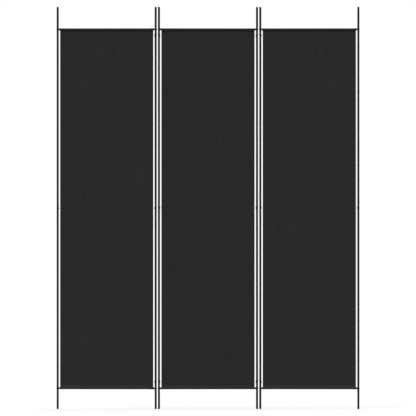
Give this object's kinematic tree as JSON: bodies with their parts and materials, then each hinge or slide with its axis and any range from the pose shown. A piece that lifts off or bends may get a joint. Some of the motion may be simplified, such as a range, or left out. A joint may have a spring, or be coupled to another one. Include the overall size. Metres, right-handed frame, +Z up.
{
  "type": "folding room divider screen",
  "caption": "Free-standing folding room divider: tall fabric panels stretched between cross bars in thin black tube frames, joined by loose link hinges so that it folds flat.",
  "frame": {"origin": "on the floor, under the middle of the middle panel", "axes": "+Z up, +X to the right along the line of the screen, -Y towards the front"},
  "size_m": [1.5078, 0.0576, 2],
  "materials": {
    "frame_coat": "satin black powder coat on steel tube and plate",
    "fabric": "matt charcoal black woven polyester",
    "bare_steel": "zinc-plated steel, hidden inside the tubes",
    "black_screw": "black-oxide steel screws",
    "black_plastic": "moulded black plastic plugs",
    "foot_rubber": "moulded black rubber plugs"
  },
  "bodies": {
    "left_panel": {"post_1_upper_tube": "frame_coat", "post_1_lower_tube": "frame_coat", "post_2_upper_tube": "frame_coat", "post_2_lower_tube": "frame_coat", "left_top_bar": "frame_coat", "left_bottom_bar": "frame_coat", "left_fabric": "fabric", "left_joint_ferrules": "bare_steel", "left_joint_screws": "black_screw", "left_bar_inserts": "bare_steel", "left_bar_screws": "black_screw", "left_hinge_stop_screws": "black_screw", "left_top_caps": "black_plastic", "left_feet": "foot_rubber"},
    "middle_panel": {"post_3_upper_tube": "frame_coat", "post_3_lower_tube": "frame_coat", "post_4_upper_tube": "frame_coat", "post_4_lower_tube": "frame_coat", "middle_top_bar": "frame_coat", "middle_bottom_bar": "frame_coat", "middle_fabric": "fabric", "middle_joint_ferrules": "bare_steel", "middle_joint_screws": "black_screw", "middle_bar_inserts": "bare_steel", "middle_bar_screws": "black_screw", "middle_hinge_stop_screws": "black_screw", "middle_top_caps": "black_plastic", "middle_feet": "foot_rubber"},
    "right_panel": {"post_5_upper_tube": "frame_coat", "post_5_lower_tube": "frame_coat", "post_6_upper_tube": "frame_coat", "post_6_lower_tube": "frame_coat", "right_top_bar": "frame_coat", "right_bottom_bar": "frame_coat", "right_fabric": "fabric", "right_joint_ferrules": "bare_steel", "right_joint_screws": "black_screw", "right_bar_inserts": "bare_steel", "right_bar_screws": "black_screw", "right_hinge_stop_screws": "black_screw", "right_top_caps": "black_plastic", "right_feet": "foot_rubber"},
    "left_links": {"left_hinge_top_link": "frame_coat", "left_hinge_middle_link": "frame_coat", "left_hinge_bottom_link": "frame_coat"},
    "right_links": {"right_hinge_top_link": "frame_coat", "right_hinge_middle_link": "frame_coat", "right_hinge_bottom_link": "frame_coat"}
  },
  "joints": [
    {"name": "left_link_swing", "type": "hinge", "parent": "middle_panel", "child": "left_links", "pos_m": [-0.24377, -0.02133, 1], "axis": [0, 0, -1], "range_deg": [-35, 85]},
    {"name": "left_panel_fold", "type": "hinge", "parent": "left_links", "child": "left_panel", "pos_m": [-0.26017, -0.02133, 1], "axis": [0, 0, -1], "range_deg": [-35, 85]},
    {"name": "right_link_swing", "type": "hinge", "parent": "middle_panel", "child": "right_links", "pos_m": [0.24377, 0.02133, 1], "axis": [0, 0, -1], "range_deg": [-35, 85]},
    {"name": "right_panel_fold", "type": "hinge", "parent": "right_links", "child": "right_panel", "pos_m": [0.26017, 0.02133, 1], "axis": [0, 0, -1], "range_deg": [-35, 85]}
  ]
}
